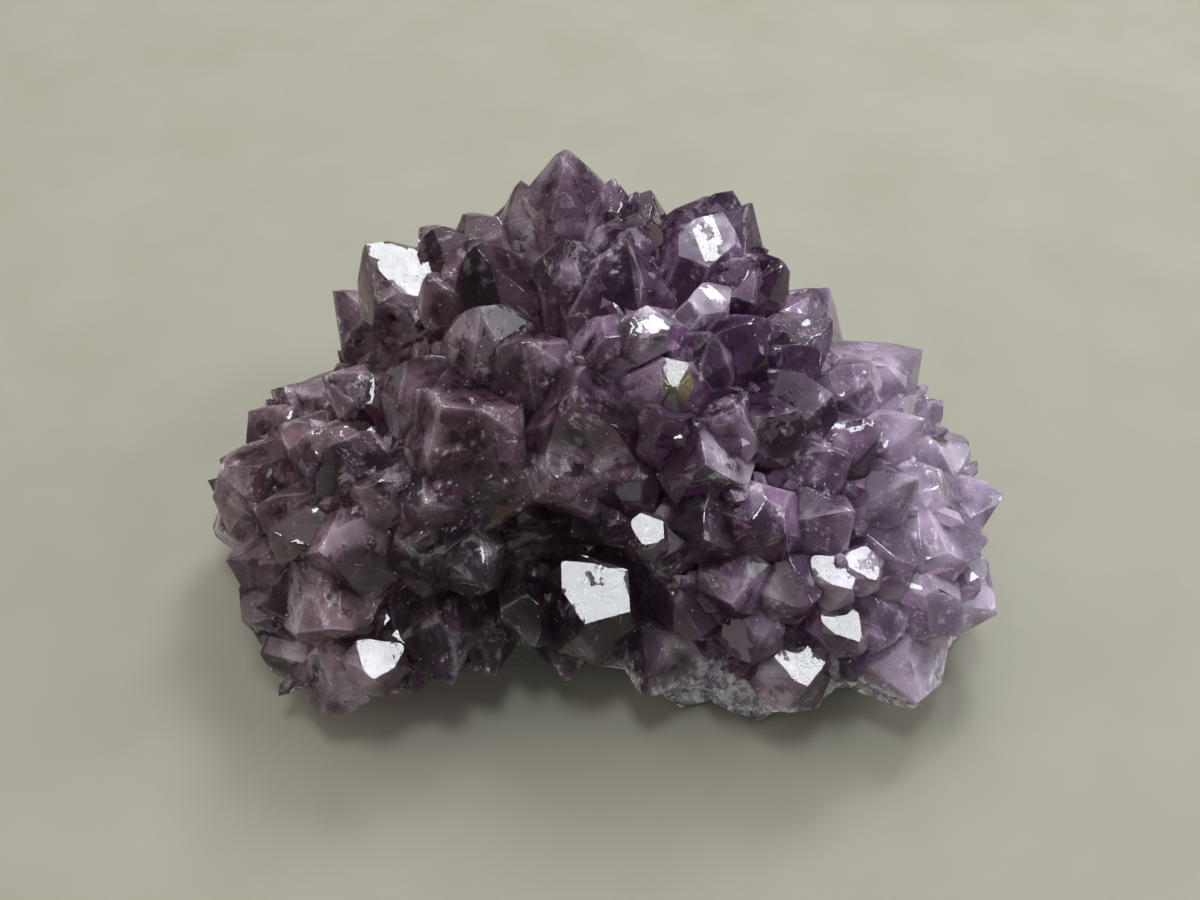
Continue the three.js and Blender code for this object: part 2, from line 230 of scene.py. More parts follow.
def floor_finish():
    """Pale matt board with a faint mottle."""
    finish = Finish("floor_board")
    mottle = finish.noise(0.03, detail=3)
    colour = finish.blend(mottle, *FLOOR_COLOURS)
    return finish.done(finish.principled(Base_Color=colour, Roughness=0.7))


half = FLOOR_SIZE / 2
floor_mesh = bpy.data.meshes.new("floor")
floor_mesh.from_pydata(
    [(-half, -half, 0), (half, -half, 0), (half, half, 0), (-half, half, 0)], [], [(0, 1, 2, 3)]
)
floor = mesh_object("floor", floor_mesh, floor_finish())


def softbox(name, direction, size, brightness, colour):
    """A rectangular lamp that faces the middle of the cluster from a direction. Its power is its
    brightness times its area times pi."""
    direction = Vector(direction).normalized()
    lamp = bpy.data.lights.new(name, "AREA")
    lamp.shape = "RECTANGLE"
    lamp.size, lamp.size_y = size
    lamp.energy = brightness * lamp.size * lamp.size_y * math.pi
    lamp.color = colour
    made = bpy.data.objects.new(name, lamp)
    made.location = CAMERA_TARGET + direction * LAMP_DISTANCE
    made.rotation_euler = (-direction).to_track_quat("-Z", "Y").to_euler()
    made.visible_transmission = brightness < BRIGHT
    bpy.context.scene.collection.objects.link(made)


for lamp_name, lamp_values in LAMPS.items():
    softbox(lamp_name, *lamp_values)

room = bpy.data.worlds.new("room")
room.use_nodes = True
background = room.node_tree.nodes["Background"]
background.inputs["Color"].default_value = (*ROOM_COLOUR, 1.0)
background.inputs["Strength"].default_value = ROOM_STRENGTH
bpy.context.scene.world = room
bpy.context.scene.view_settings.view_transform = "Standard"


# The crystals: stout quartz points with six-sided prisms, grown into each other from one bed.
# They are clear to cloudy purple quartz. Their faces have low growth steps and a different
# polish each, and their edges are chipped here and there.
EDGE_WIDTH = 0.00012
DOUBLES_WITHIN = 0.000001
MERGED_WITHIN = 0.00002
FLAT_ANGLE = math.radians(1.0)
CONVEX_ANGLE = math.radians(12)
SHARP_ANGLE = math.radians(24)
# The longest triangle side near the foot and above it, and the most rounds of cutting.
FOOT_SIDE = 0.00125
LONGEST_SIDE = 0.00205
CUT_ROUNDS = 8
# Waves on the faces, each a spacing and a height. The outer edges are chipped where a noise of
# this spacing lies above CHIP_FROM.
WAVES = ((0.0050, 0.00007), (0.0018, 0.00003))
CHIP_SPACING = 0.0026
CHIP_FROM = 0.25
CHIP_DEPTH = 0.0009
# The faces that lie nearly level, and look towards one place above, are the best polished. Low
# at the front they look towards another.
LEVEL_LOOK_AT = Vector((0.038, -0.021, 0.29))
LEVEL_WITHIN = math.cos(math.radians(2.2))
LEVEL_AREA = 12e-6
LOW_LEVEL_LOOK_AT = (0.0, -0.146, 0.361)
# The crust is broken off along its foot. The break starts at FADED_ABOVE, is full a
# BROKEN_BELOW lower, and leaves the lowest FOOT_KEPT alone, so that the foot stays flat. Its
# lumps are each a spacing, a share of the depth and a seed.
BROKEN_BELOW = 0.006
FADED_ABOVE = 1.6 * BROKEN_BELOW
FOOT_KEPT = 0.001
FOOT_RISE = 0.0015
BROKEN_DEPTH = 0.0017
BROKEN_LUMPS = ((0.0042, 1.0, 9), (0.0019, 0.5, 17))
SPLINTERED = 0.0004
# The finish needs to know how far the outer edges and the seams are, up to this far: it paints a
# highlight on the rims and shade in the seams and the faces' middles.
FARTHEST = 0.01
SPREAD_ROUNDS = 10
TONE_SEED, WAVE_SEED, CHIP_SEED, SPLINTER_SEED = 11, 3, 5, 19
LATTICE = 32

QUARTZ_IOR = 1.544
QUARTZ_ABSORBED = (0.71, 0.60, 0.69)
QUARTZ_DENSITY = 135.0
# The share of haze on the inner sides of the faces, and its colours at the left and the right.
INNER_CLOUD = 0.33
INNER_GLASS = (0.93, 0.90, 0.95)
INNER_HAZE = ((0.34, 0.20, 0.25), (0.50, 0.31, 0.54))
# The quartz's colours, darkest and lightest: at the left, at the right, and at the upper middle.
BROWN = ((0.24, 0.11, 0.15), (0.70, 0.44, 0.52))
LILAC = ((0.34, 0.15, 0.39), (0.86, 0.58, 0.92))
PURPLE = ((0.15, 0.03, 0.19), (0.48, 0.20, 0.55))
PURPLE_SPOT = (0.020, 0.006, 0.052)
PALE_END = (0.91, 0.75, 1.0)
# The hollow at the front and the dark grey-green painted shade in it, and the colours of the smoky
# patches with painted shade in the faces' middles, the haze, the painted highlight on the rims
# and the veils with painted glints.
HOLLOW_SPOT = (-0.016, -0.040, 0.026)
HOLLOW_SHADE = (0.07, 0.085, 0.07)
DARK_FACE = (0.04, 0.01, 0.04)
HAZY_FACE = (0.88, 0.77, 0.9)
SMOKE_AND_SHADE = (0.03, 0.008, 0.024)
RIM_HIGHLIGHT = (0.85, 0.78, 0.88)
SEAM_SHADE = (0.03, 0.01, 0.03)
VEIL_AND_GLINT = (0.97, 0.94, 0.99)
# White dots as painted glints, and dark specks.
GLINTS_AND_SPECKS = ((0.97, 0.95, 1.0), (0.03, 0.015, 0.01))
# The foot's splinter cells, dark to white; the white is partly painted glints.
SHARDS_AND_GLINTS = ((0.17, 0.15, 0.22), (1.0, 1.0, 1.0))
# Coloured places in and on the crystals: where each is, its radius and its colour. They are an
# algae-green grain, an olive stain, a painted olive reflection on a face at the upper middle, a
# brown grain and a black one.
SPOTS = (
    ((-0.0485, -0.0317, 0.0377), 0.0012, (0.01, 0.06, 0.02)),
    ((-0.0169, -0.0315, 0.0389), 0.0026, (0.17, 0.14, 0.02)),
    # A painted reflection: the olive of a face that mirrors something yellowish.
    ((0.0132, -0.0202, 0.0594), 0.0036, (0.38, 0.34, 0.13)),
    ((0.0646, -0.0056, 0.0283), 0.0018, (0.12, 0.05, 0.02)),
    ((0.0151, -0.0239, 0.0549), 0.0010, (0.01, 0.006, 0.006)),
)
# Where the quartz is whitest with veils and splinters, partly painted glints.
SPARKLING = (
    ((0.0647, -0.0240, 0.0304), 0.011), ((0.0404, 0.0248, 0.0387), 0.010),
    ((0.0384, -0.0274, 0.0488), 0.008), ((-0.0170, -0.0300, 0.0480), 0.007),
    ((0.0018, 0.0293, 0.0601), 0.008), ((-0.0600, -0.0200, 0.0300), 0.007),
    ((-0.0270, -0.0270, 0.0440), 0.008), ((0.0680, -0.0060, 0.0330), 0.007),
)


def lattice_noise(points, size, seed):
    """Smooth noise between -1 and 1: random values on a cubic lattice of the given spacing,
    blended between the eight corners of each point's cell with an eased weight."""
    table = np.random.default_rng(seed).uniform(-1, 1, (LATTICE, LATTICE, LATTICE))
    scaled = points / size
    cell = np.floor(scaled).astype(int)
    part = scaled - cell
    part = part * part * (3 - 2 * part)
    total = np.zeros(len(points))
    for corner in np.ndindex(2, 2, 2):
        weight = np.prod(np.where(corner, part, 1 - part), axis=1)
        x, y, z = ((cell + corner) % LATTICE).T
        total += weight * table[x, y, z]
    return total


def read_rows(collection, key, width=3, kind=float):
    """One property of all a mesh's points, edges or faces, as an array with a row for each."""
    flat = np.empty(len(collection) * width, kind)
    collection.foreach_get(key, flat)
    return flat.reshape(-1, width)


def edge_angles(mesh):
    """How far the two triangles at each edge of a closed mesh turn from each other: the angle
    between their normals, below zero where the second one's middle lies above the first one's
    plane, which makes a groove."""
    corner_edges = read_rows(mesh.loops, "edge_index", 1, int)[:, 0]
    order = np.argsort(corner_edges, kind="stable")
    starts = np.searchsorted(corner_edges[order], np.arange(len(mesh.edges)))
    first, second = order[starts] // 3, order[starts + 1] // 3
    normals = read_rows(mesh.polygons, "normal")
    middles = read_rows(mesh.polygons, "center")
    turn = np.arccos(np.clip(np.sum(normals[first] * normals[second], axis=1), -1, 1))
    above = np.sum((middles[second] - middles[first]) * normals[first], axis=1) > 0
    return np.where(above, -turn, turn)


def spread_from(seeds, points, edges):
    """The way along a mesh's edges from each point to the nearest seed, up to FARTHEST: each
    round lets a point reach its neighbours, at their own distance plus the edge's length."""
    lengths = np.linalg.norm(points[edges[:, 0]] - points[edges[:, 1]], axis=1)
    away = np.where(seeds, 0.0, FARTHEST)
    for _ in range(SPREAD_ROUNDS):
        for here, there in (edges.T, edges.T[::-1]):
            np.minimum.at(away, here, away[there] + lengths)
    return away


def whole_faces():
    """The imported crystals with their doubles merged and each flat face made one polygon."""
    mesh = bmesh.new()
    mesh.from_mesh(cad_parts["amethyst_crystals"].data)
    bmesh.ops.remove_doubles(mesh, verts=mesh.verts, dist=DOUBLES_WITHIN)
    bmesh.ops.dissolve_limit(
        mesh, angle_limit=FLAT_ANGLE, verts=mesh.verts, edges=mesh.edges, delimit=set()
    )
    return mesh


def triangles_of(work):
    """A bmesh as a mesh of triangles. The bmesh is freed."""
    bmesh.ops.triangulate(work, faces=work.faces)
    mesh = bpy.data.meshes.new("base")
    work.to_mesh(mesh)
    work.free()
    return mesh


def cut_fine(mesh, foot_side, longest_side):
    """Cuts each triangle side that is too long at its middle, round after round. A triangle with
    one, two or three such sides is turned so that they come first, and becomes two, three or four
    triangles. Also gives the triangle that each new one was cut from."""
    points = read_rows(mesh.vertices, "co")
    triangles = read_rows(mesh.loops, "vertex_index", 1, int).reshape(-1, 3)
    source = np.arange(len(triangles))
    for _ in range(CUT_ROUNDS):
        sides = np.sort(triangles[:, [[0, 1], [1, 2], [2, 0]]], axis=2).reshape(-1, 2)
        keys, which = np.unique(sides @ (len(points), 1), return_inverse=True)
        ends = points[np.stack(divmod(keys, len(points)), axis=1)]
        middles = ends.mean(axis=1)
        limit = np.where(middles[:, 2] < FADED_ABOVE, foot_side, longest_side)
        cut = np.linalg.norm(ends[:, 0] - ends[:, 1], axis=1) > limit
        if not cut.any():
            break
        added = np.full(len(keys), -1)
        added[cut] = len(points) + np.arange(cut.sum())
        points = np.concatenate([points, middles[cut]])
        added = added[which].reshape(-1, 3)
        cuts = np.sum(added >= 0, axis=1)
        first = np.where(cuts == 1, np.argmax(added >= 0, axis=1), 0)
        first = np.where(cuts == 2, np.argmin(added >= 0, axis=1) + 1, first)
        turned = (np.arange(3) + first[:, None]) % 3
        a, b, c = np.take_along_axis(triangles, turned, 1).T
        ab, bc, ca = np.take_along_axis(added, turned, 1).T
        parts = (
            (0, (a, b, c)), (1, (a, ab, c)), (1, (ab, b, c)),
            (2, (ab, b, bc)), (2, (a, ab, bc)), (2, (a, bc, c)),
            (3, (a, ab, ca)), (3, (ab, b, bc)), (3, (ca, bc, c)), (3, (ab, bc, ca)),
        )
        triangles = np.concatenate([np.stack(part, 1)[cuts == count] for count, part in parts])
        source = np.concatenate([source[cuts == count] for count, _ in parts])
    made = bpy.data.meshes.new("fine")
    made.from_pydata(points, [], triangles)
    bpy.data.meshes.remove(mesh)
    return made, source


def crystal_mesh():
    """The crystals with bevelled outer edges, cut fine enough to carry relief. Each point moves
    along its normal by two waves of lattice noise. On the outer edges it moves inwards by a third
    noise where that is high, which chips them. Near the foot it moves inwards by two more noises
    and a random share, and the faces stay flat there, which splinters it. For the finish, each
    face keeps a tone, which is 0 where it is level, and each point keeps the way to the nearest
    outer edge and to the nearest seam."""
    mesh = whole_faces()
    tone = mesh.faces.layers.float.new("tone")
    draws = np.random.default_rng(TONE_SEED).random(len(mesh.faces))
    for face, draw in zip(mesh.faces, draws):
        upwards = (LEVEL_LOOK_AT - face.calc_center_median()).normalized()
        level = face.normal.dot(upwards) > LEVEL_WITHIN and face.calc_area() > LEVEL_AREA
        face[tone] = 0.0 if level else 0.1 + 0.9 * draw
    outer = [
        edge for edge in mesh.edges
        if edge.is_manifold and edge.calc_face_angle_signed(0.0) > CONVEX_ANGLE
    ]
    bmesh.ops.bevel(mesh, geom=outer, offset=EDGE_WIDTH, segments=1, affect="EDGES")
    bmesh.ops.remove_doubles(mesh, verts=mesh.verts, dist=MERGED_WITHIN)
    base = triangles_of(mesh)
    tones = read_rows(base.attributes["tone"].data, "value", 1)[:, 0]
    made, source = cut_fine(base, FOOT_SIDE, LONGEST_SIDE)
    made.attributes.new("tone", "FLOAT", "FACE").data.foreach_set("value", tones[source])
    points = read_rows(made.vertices, "co")
    normals = read_rows(made.vertices, "normal")
    edges = read_rows(made.edges, "vertices", 2, int)
    angles = edge_angles(made)
    made.edges.foreach_set("use_edge_sharp", np.abs(angles) > SHARP_ANGLE)
    heights = read_rows(made.polygons, "center")[:, 2]
    made.polygons.foreach_set("use_smooth", heights > BROKEN_BELOW)
    seams, rims = np.zeros((2, len(points)), bool)
    seams[edges[angles < -CONVEX_ANGLE]] = True
    rims[edges[angles > CONVEX_ANGLE]] = True
    for name, seeds in (("from_seam", seams), ("from_edge", rims)):
        away = spread_from(seeds, points, edges)
        made.attributes.new(name, "FLOAT", "POINT").data.foreach_set("value", away)
    moved = sum(height * lattice_noise(points, size, WAVE_SEED) for size, height in WAVES)
    chips = np.maximum(lattice_noise(points, CHIP_SPACING, CHIP_SEED) - CHIP_FROM, 0)
    moved -= rims * CHIP_DEPTH * chips
    foot = np.clip((FADED_ABOVE - points[:, 2]) / BROKEN_BELOW, 0, 1)
    foot *= np.clip((points[:, 2] - FOOT_KEPT) / FOOT_RISE, 0, 1)
    lumps = sum(
        share * lattice_noise(points, size, seed) for size, share, seed in BROKEN_LUMPS
    )
    moved -= foot * BROKEN_DEPTH * (0.5 + 0.5 * lumps)
    moved -= foot * SPLINTERED * np.random.default_rng(SPLINTER_SEED).random(len(points))
    made.vertices.foreach_set("co", (points + normals * moved[:, None]).ravel())
    made.update()
    return made


def crystal_finish():
    """Quartz that is clear and cloudy by turns. Inside it lie smoky patches, pale veils, thin
    healed cracks and specks. It is browner to the left, lilac to the right and deep purple at the
    upper middle, painted dark grey-green shade in the hollow, and white and frosted where it is
    broken.
    Its colour also holds painted light: shade in the seams and the faces' middles, a highlight on
    the rims, glints as white dots, feather streaks and white splinter cells on the foot, and an
    olive reflection on a face."""
    finish = Finish("amethyst")
    tone = finish.node("Attribute", {"attribute_name": "tone"}, output="Fac")
    from_edge = finish.node("Attribute", {"attribute_name": "from_edge"}, output="Fac")
    from_seam = finish.node("Attribute", {"attribute_name": "from_seam"}, output="Fac")
    x = finish.node("SeparateXYZ", None, {0: finish.place})
    y, z = x.other("Y"), x.other("Z")
    broad = finish.noise(0.011, detail=2)
    fine = finish.noise(0.0036, detail=5, roughness=0.68)
    wisp = finish.noise(0.0050, detail=4, roughness=0.72, stretch=(1.0, 0.5, 1.6))
    feather = finish.noise(0.0012, detail=2, stretch=(1.0, 0.3, 0.7)).between(0.54, 0.72)
    grain = finish.noise(0.0008, detail=2)
    cell = finish.cells(0.0012)
    kind = finish.node("SeparateXYZ", None, {0: cell.other("Color")})

    brown = finish.blend(broad, *BROWN)
    lilac = finish.blend(broad, *LILAC)
    purple = finish.blend(broad, *PURPLE)
    body = finish.blend(x.between(-0.045, 0.06), brown, lilac)
    body = finish.blend(0.85 * finish.near(PURPLE_SPOT, 0.012, 0.036), body, purple)
    pale = x.between(0.034, 0.060) * (1 - z.between(0.035, 0.055))
    body = finish.blend(0.85 * pale, body, PALE_END)
    # Painted shade: the hollow at the front is coloured dark grey-green.
    hollow = finish.near(HOLLOW_SPOT, 0.012, 0.034)
    body = finish.blend(0.8 * hollow, body, HOLLOW_SHADE)

    # Each face shows another part of the inside: some are dark and some are hazy. Smoky patches
    # keep to the faces' middles as partly painted shade, the rims carry a painted highlight, and
    # the seams between crystals painted shade.
    dark = tone.between(0.35, 0.95) * (1 - 0.75 * pale)
    body = finish.blend(0.8 * dark, body, DARK_FACE)
    hazy = (1 - tone.between(0.1, 0.4)) * (1 - hollow)
    haze = hazy * (0.25 + 0.5 * broad.between(0.45, 0.6))
    body = finish.blend(haze, body, HAZY_FACE)
    # The smoky patches are the quartz's own colour; holding them to the faces' middles, away from
    # the edges, is painted shade of the thicker quartz.
    core = from_edge.between(0.0006, 0.0035)
    smoke_and_shade = (1 - fine.between(0.43, 0.52)) * core * (1 - 0.7 * pale)
    body = finish.blend(0.9 * smoke_and_shade, body, SMOKE_AND_SHADE)
    # Painted highlight: the quartz is paler along the outer edges, where thin quartz lets light
    # through.
    rim = (1 - from_edge.between(0.0001, 0.0006)) * (1 - 0.6 * hollow)
    body = finish.blend(0.35 * rim * broad.between(0.4, 0.6), body, RIM_HIGHLIGHT)
    # Painted shade: the seams between crystals are darkened.
    seam = 1 - from_seam.between(0.0, 0.0011)
    body = finish.blend(0.45 * seam * (1 - 0.5 * pale), body, SEAM_SHADE)

    # Veils are cloudlets of splinters and feather streaks, with a few thin curved lines, where the
    # wisp noise passes through its middle. The cloudlets and lines are milky quartz; the feather
    # streaks are painted glints, and the sparkling places add more of all three as painted glints.
    sparkling = sum(finish.near(spot, 0.5 * radius, 1.3 * radius) for spot, radius in SPARKLING)
    bundle = (broad.between(0.46, 0.56) + 0.8 * sparkling).clamped()
    line = 1 - wisp.away_from(0.5).between(0.001, 0.008)
    cloudlet = wisp.between(0.56, 0.66)
    feather_glints = feather * wisp.between(0.47, 0.60) * (0.55 + 0.5 * sparkling)
    veils_and_glints = bundle * (0.2 * line + 0.45 * cloudlet * kind.between(0.2, 0.8) + feather_glints)
    body = finish.blend(veils_and_glints.clamped(), body, VEIL_AND_GLINT)

    # The white dots are painted glints; the dark ones are specks in the quartz.
    glint_and_speck_dots = 1 - cell.between(0.08, 0.16)
    body = finish.blend(glint_and_speck_dots * kind.between(0.85, 0.87), body, GLINTS_AND_SPECKS[0])
    body = finish.blend(glint_and_speck_dots * (1 - kind.between(0.04, 0.05)), body, GLINTS_AND_SPECKS[1])

    # Stains and grains, and one painted reflection.
    for spot, radius, colour in SPOTS:
        away = finish.distance(spot) + 0.0016 * (fine - 0.5)
        near = 1 - away.between(0.7 * radius, radius)
        body = finish.blend(0.85 * near, body, colour)

    front = (1 - y.between(-0.044, -0.034)) * x.between(-0.004, 0.006)
    height = z + 0.012 * (fine - 0.5) - 0.008 * front
    frost = 1 - height.between(0.004, 0.0075)
    # The frosted foot: its white cells are partly frosted quartz and partly painted glints.
    lit = 0.7 * kind.between(0.2, 0.85) + 0.3 * grain.between(0.4, 0.58)
    shards_and_glints = finish.blend(lit, *SHARDS_AND_GLINTS)
    body = finish.blend(frost * 0.9, body, shards_and_glints)

    # The normal leans by fine noise, across thin cracks, and from splinter to splinter where
    # the quartz is frosted or veiled. The growth steps of the level faces low at the front lean
    # to one place above.
    crack = 1 - fine.away_from(0.47).between(0.0, 0.005)
    noises = finish.node("CombineXYZ", None, {0: grain, 1: fine, 2: wisp})
    rough = finish.vector("SUBTRACT", noises, (0.5, 0.5, 0.5))
    splinter = finish.vector("SUBTRACT", cell.other("Color"), (0.5, 0.5, 0.5))
    geometry = finish.node("NewGeometry", output="Normal")
    inside = geometry.other("Backfacing")
    level = 1 - tone.between(0.02, 0.06)
    low = level * (1 - y.between(-0.0345, -0.034)) * (1 - inside)
    towards = finish.vector("SUBTRACT", LOW_LEVEL_LOOK_AT, finish.place)
    facing = finish.mixed(low, geometry, finish.vector("NORMALIZE", towards))
    veiled = cloudlet * bundle
    for way, share in (
        (rough, 0.035 + 0.9 * frost + 1.3 * veiled),
        (splinter, 0.7 * frost + 0.6 * veiled),
        ((0.3, -0.25, 0.25), crack * (1 - frost) * (1 - 0.8 * level)),
    ):
        facing = finish.vector("ADD", facing, finish.vector("SCALE", way, Scale=share))
    normal = finish.vector("NORMALIZE", facing)
    # Of two level faces at the upper right only a strip is polished.
    first = (x + 0.28 * y).away_from(0.0232).between(0.0022, 0.0026)
    second = (x + 0.73 * y).away_from(0.0185).between(0.0012, 0.0015)
    matt = first * finish.near((0.0191, 0.0138, 0.062), 0.009, 0.010)
    matt = matt + second * finish.near((0.0197, -0.0017, 0.0619), 0.006, 0.007)
    matt = (matt + wisp.between(0.56, 0.59)).clamped()
    dull = 0.5 * level * matt
    clear = finish.principled(
        Base_Color=finish.blend(0.8, body, (1.0, 1.0, 1.0)),
        Roughness=0.015 + 0.1 * tone * broad + dull,
        IOR=QUARTZ_IOR,
        Transmission_Weight=1.0,
        Normal=normal,
    )
    cloudy = finish.principled(
        Base_Color=body,
        Roughness=0.03 + 0.1 * tone + dull,
        IOR=QUARTZ_IOR,
        Normal=normal,
    )
    cloud = 0.13 + 0.42 * broad.between(0.4, 0.7) + 0.6 * veils_and_glints + 0.5 * glint_and_speck_dots
    cloud = cloud + 0.8 * frost + 0.14 * pale
    outer = finish.node("MixShader", None, {0: cloud.clamped(), 1: clear, 2: cloudy})
    # Seen from inside, every face is plain glass with some haze.
    glass = finish.principled(
        Base_Color=INNER_GLASS, Roughness=0.03, IOR=QUARTZ_IOR, Transmission_Weight=1.0
    )
    haze_inside = finish.principled(
        Base_Color=finish.blend(x.between(-0.045, 0.06), *INNER_HAZE),
        Roughness=0.1,
        IOR=QUARTZ_IOR,
    )
    inner = finish.node("MixShader", None, {0: INNER_CLOUD, 1: glass, 2: haze_inside})
    surface = finish.node("MixShader", None, {0: inside, 1: outer, 2: inner})
    absorbed = finish.node(
        "VolumeAbsorption", None, {"Color": (*QUARTZ_ABSORBED, 1.0), "Density": QUARTZ_DENSITY}
    )
    return finish.done(surface, absorbed)


amethyst = crystal_finish()
crystals = mesh_object("crystals", crystal_mesh(), amethyst)
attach(crystals, "root")
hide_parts("amethyst_crystals")


# Small crystals in the seams between the large ones. They are the same quartz, and stopped
# growing early for want of room.
SMALL_COUNT = 300
SMALL_SEED = 7
SMALL_WIDTHS = (0.0014, 0.0036)
SMALL_ROOT = 0.0015
SMALL_LEAN = 0.35
# As shares of the width: how uneven the radii are, how far the shoulder stands out, how far its
# points differ, and how far the tip lies above it.
SMALL_RADII = (0.8, 1.15)
SMALL_STANDING = (0.2, 0.9)
SMALL_SHOULDER = 0.12
SMALL_TIP = 0.62
# Two rings of six points and a tip.
SMALL_POINTS = 13
SEAM_ANGLE = math.radians(-35)
SEAM_LENGTH = 0.0025
# Nothing is set into faces that look down further than this.
LEAST_UPWARDS = -0.3


def seams():
    """The starts, the ends and the outward directions of the inward edges between crystals."""
    mesh = whole_faces()
    found = [
        edge for edge in mesh.edges
        if edge.is_manifold
        and edge.calc_face_angle_signed(0.0) < SEAM_ANGLE
        and edge.calc_length() > SEAM_LENGTH
        and min(vert.co.z for vert in edge.verts) > SEAM_LENGTH
        and (edge.link_faces[0].normal + edge.link_faces[1].normal).normalized().z > LEAST_UPWARDS
    ]
    starts = np.array([edge.verts[0].co for edge in found])
    ends = np.array([edge.verts[1].co for edge in found])
    outward = np.array([edge.link_faces[0].normal + edge.link_faces[1].normal for edge in found])
    mesh.free()
    return starts, ends, outward


def closed_mesh(name, points, faces):
    """A mesh from arrays, with its faces turned outwards."""
    mesh = bpy.data.meshes.new(name)
    mesh.from_pydata(points.reshape(-1, 3).tolist(), [], faces)
    work = bmesh.new()
    work.from_mesh(mesh)
    bmesh.ops.recalc_face_normals(work, faces=work.faces)
    work.to_mesh(mesh)
    work.free()
    return mesh


def axes_from(direction, rng):
    """Two arrays of directions that stand square to each direction and to each other, turned
    about it at random."""
    aside = np.cross(direction, rng.normal(size=direction.shape))
    aside /= np.linalg.norm(aside, axis=1, keepdims=True)
    return aside, np.cross(direction, aside)


def small_crystals():
    """Each is a six-sided prism with a low pyramid: two rings of six points, with uneven radii,
    and a tip. The rings lie at the root and at the shoulder along the crystal's axis."""
    rng = np.random.default_rng(SMALL_SEED)
    starts, ends, outward = seams()
    lengths = np.linalg.norm(ends - starts, axis=1)
    chosen = rng.choice(len(starts), SMALL_COUNT, p=lengths / lengths.sum())
    along = rng.random((SMALL_COUNT, 1))
    seat = starts[chosen] * (1 - along) + ends[chosen] * along
    axis = outward[chosen] / np.linalg.norm(outward[chosen], axis=1, keepdims=True)
    axis = axis + SMALL_LEAN * rng.normal(size=axis.shape)
    axis /= np.linalg.norm(axis, axis=1, keepdims=True)
    across, over = axes_from(axis, rng)
    width = rng.uniform(*SMALL_WIDTHS, (SMALL_COUNT, 1, 1))
    turn = np.arange(6) * math.pi / 3
    ring = np.cos(turn)[:, None] * across[:, None] + np.sin(turn)[:, None] * over[:, None]
    ring = ring * width / 2 * rng.uniform(*SMALL_RADII, (SMALL_COUNT, 6, 1))
    stand = width * rng.uniform(*SMALL_STANDING, (SMALL_COUNT, 1, 1))
    shoulder = axis[:, None] * (stand + SMALL_SHOULDER * width * rng.random((SMALL_COUNT, 6, 1)))
    foot = seat[:, None] + ring - axis[:, None] * SMALL_ROOT
    top = seat[:, None] + ring + shoulder
    tip = seat[:, None] + axis[:, None] * (stand + SMALL_TIP * width)
    points = np.concatenate([foot, top, tip], axis=1)
    faces = []
    for first in range(0, SMALL_POINTS * SMALL_COUNT, SMALL_POINTS):
        for k in range(6):
            n = (k + 1) % 6
            faces.append((first + k, first + n, first + 6 + n, first + 6 + k))
            faces.append((first + 6 + k, first + 6 + n, first + 12))
        faces.append(tuple(first + k for k in range(6)))
    mesh = closed_mesh("small_crystals", points, faces)
    mesh.attributes.new("tone", "FLOAT", "FACE").data.foreach_set("value", rng.random(len(faces)))
    # Their foot counts as a seam, so the finish paints shade there.
    for name, at_foot, above in (("from_seam", 0.0, 0.002), ("from_edge", 0.001, 0.001)):
        away = np.tile([at_foot] * 6 + [above] * 7, SMALL_COUNT)
        mesh.attributes.new(name, "FLOAT", "POINT").data.foreach_set("value", away)
    return mesh


small = mesh_object("small_crystals", small_crystals(), amethyst)
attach(small, "root")


# Healed cracks inside the crystals: thin wavy sheets of trapped bubbles, which catch the light
# like foil. They lie under the large faces.
CRACK_COUNT = 620
CRACK_SEED = 23
CRACK_DEPTHS = (0.0012, 0.0052)
CRACK_THICKNESS = 0.00004
CRACK_RINGS = 4
CRACK_SIDES = 12
# The least room round a crack's middle, the share of it that the crack fills, and how far a
# sheet is squeezed, bent and rippled.
CRACK_ROOM = 0.0005
CRACK_FILLS = (0.6, 0.92)
CRACK_WAVER = 0.5
CRACK_SQUEEZE = (0.4, 1.0)
CRACK_BEND = (-0.35, 0.35)
CRACK_RIPPLE = 0.05
# A crack's own direction: how closely it follows the face's, and how far it strays.
CRACK_ALONG = (0.6, 1.6)
CRACK_STRAY = 0.7
# The smallest face that something lies under, and how far from its middle, as a share.
LARGE_FACE = 12e-6
SPREAD_UNDER_FACE = 0.22


def places_inside(count, depths, seed):
    """Places under the large flat faces: each is a face's middle, moved a little along the face
    and set in along its normal, with the distance to the nearest face. Large faces are chosen
    more often."""
    rng = np.random.default_rng(seed)
    mesh = whole_faces()
    faces = [
        face for face in mesh.faces
        if face.calc_area() > LARGE_FACE and face.normal.z > LEAST_UPWARDS
    ]
    area = np.array([face.calc_area() for face in faces])
    middle = np.array([face.calc_center_median() for face in faces])
    normal = np.array([face.normal for face in faces])
    tree = BVHTree.FromBMesh(mesh)
    chosen = rng.choice(len(faces), count, p=area / area.sum())
    spread = rng.normal(size=(count, 3)) * np.sqrt(area[chosen])[:, None] * SPREAD_UNDER_FACE
    spread -= np.sum(spread * normal[chosen], axis=1, keepdims=True) * normal[chosen]
    place = middle[chosen] + spread - normal[chosen] * rng.uniform(*depths, (count, 1))
    room = np.empty(count)
    for index, point in enumerate(place):
        nearest, facing, _, distance = tree.find_nearest(point)
        room[index] = distance if (Vector(point) - nearest).dot(facing) < 0 else 0.0
    mesh.free()
    return place, normal[chosen], room, rng


